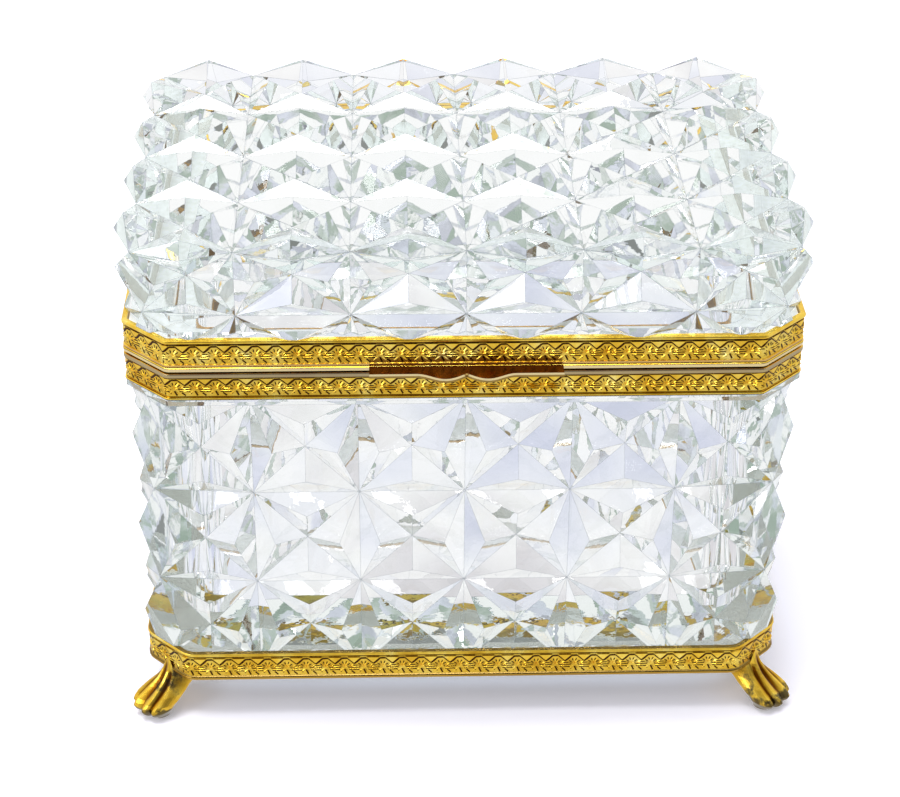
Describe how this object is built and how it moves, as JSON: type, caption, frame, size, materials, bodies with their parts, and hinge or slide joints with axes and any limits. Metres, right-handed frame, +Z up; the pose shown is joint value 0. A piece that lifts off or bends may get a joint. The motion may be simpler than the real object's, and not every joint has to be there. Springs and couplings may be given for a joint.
{
  "type": "glass casket box",
  "caption": "Hinged casket of thick cut glass with star-pattern facets, engraved gilt brass bands, a thumb lip and paw feet, for papers and keepsakes.",
  "frame": {"origin": "on the floor, under the middle of the closed casket's overall size", "axes": "+X along the front from left to right, -Y towards the front with the thumb lip, +Z up"},
  "size_m": [0.156, 0.1156, 0.1243],
  "materials": {
    "cut_glass": "polished facets",
    "gilt_brass": "fire gilt, engraved, dark in the lines",
    "plain_brass": "turned, dull",
    "cement": "matt"
  },
  "bodies": {
    "case": {"glass_body": "cut_glass", "body_rim": "gilt_brass", "base_rim": "gilt_brass", "locating_strip": "gilt_brass", "body_bed": "cement", "base_bed": "cement", "hinge_leaf_body": "gilt_brass", "hinge_pin": "plain_brass", "foot_front_left": "gilt_brass", "foot_front_right": "gilt_brass", "foot_rear_left": "gilt_brass", "foot_rear_right": "gilt_brass", "foot_studs": "plain_brass", "foot_nuts": "plain_brass"},
    "lid": {"glass_lid": "cut_glass", "lid_rim": "gilt_brass", "thumb_lip": "gilt_brass", "lid_bed": "cement", "hinge_leaf_lid": "gilt_brass"}
  },
  "joints": [
    {"name": "lid_hinge", "type": "hinge", "parent": "case", "child": "lid", "pos_m": [0, 0.0552, 0.0932], "axis": [-1, 0, 0], "range_deg": [0, 100]}
  ]
}
